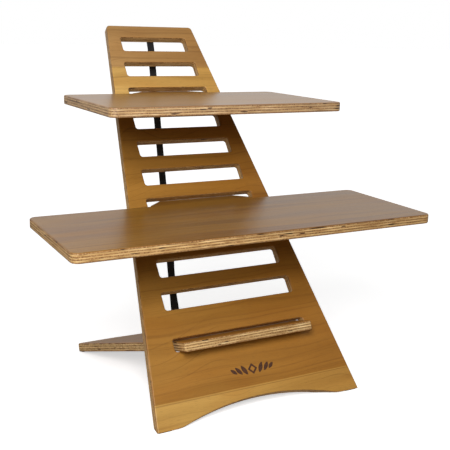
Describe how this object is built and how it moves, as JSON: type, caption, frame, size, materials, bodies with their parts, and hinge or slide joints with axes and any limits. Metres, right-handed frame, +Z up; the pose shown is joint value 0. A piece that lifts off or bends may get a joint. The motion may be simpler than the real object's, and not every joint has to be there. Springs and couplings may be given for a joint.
{
  "type": "standing desk converter",
  "caption": "Leaning slotted plywood upright with two plug-in shelves, a plug-through back foot and a webbing strap; stands on a desk.",
  "frame": {"origin": "on the desk surface, at the middle of the object's width and depth", "axes": "+X to the user's right along the shelves, +Y away from the user, +Z up"},
  "size_m": [0.702, 0.5586, 0.6678],
  "materials": {
    "plywood": "satin lacquer over veneered plywood, bare striped edges",
    "webbing": "black woven polypropylene webbing",
    "buckle_plastic": "black moulded acetal",
    "black_steel": "black powder coat",
    "zinc_steel": "bright zinc plate",
    "pad_rubber": "matt black rubber"
  },
  "bodies": {
    "upright": {"upright_board": "plywood", "strap": "webbing", "strap_anchor_plate": "black_steel", "strap_anchor_screws": "zinc_steel", "front_pad_left": "pad_rubber", "front_pad_right": "pad_rubber"},
    "lower_shelf": {"lower_shelf": "plywood"},
    "upper_shelf": {"upper_shelf": "plywood"},
    "back_foot": {"back_foot": "plywood", "rear_pad_left": "pad_rubber", "rear_pad_right": "pad_rubber"},
    "strap_slider": {"strap_buckle": "buckle_plastic"}
  },
  "joints": [
    {"name": "lower_shelf_pull", "type": "slide", "parent": "upright", "child": "lower_shelf", "axis": [0, -1, 0], "range_m": [0, 0.06]},
    {"name": "upper_shelf_pull", "type": "slide", "parent": "upright", "child": "upper_shelf", "axis": [0, -1, 0], "range_m": [0, 0.06]},
    {"name": "back_foot_pull", "type": "slide", "parent": "upright", "child": "back_foot", "axis": [0, 0.9483, -0.3173], "range_m": [0, 0.07], "deforming": ["strap"]},
    {"name": "strap_buckle_slide", "type": "slide", "parent": "back_foot", "child": "strap_slider", "axis": [0, 0.2354, 0.9719], "range_m": [0, 0.024]}
  ]
}
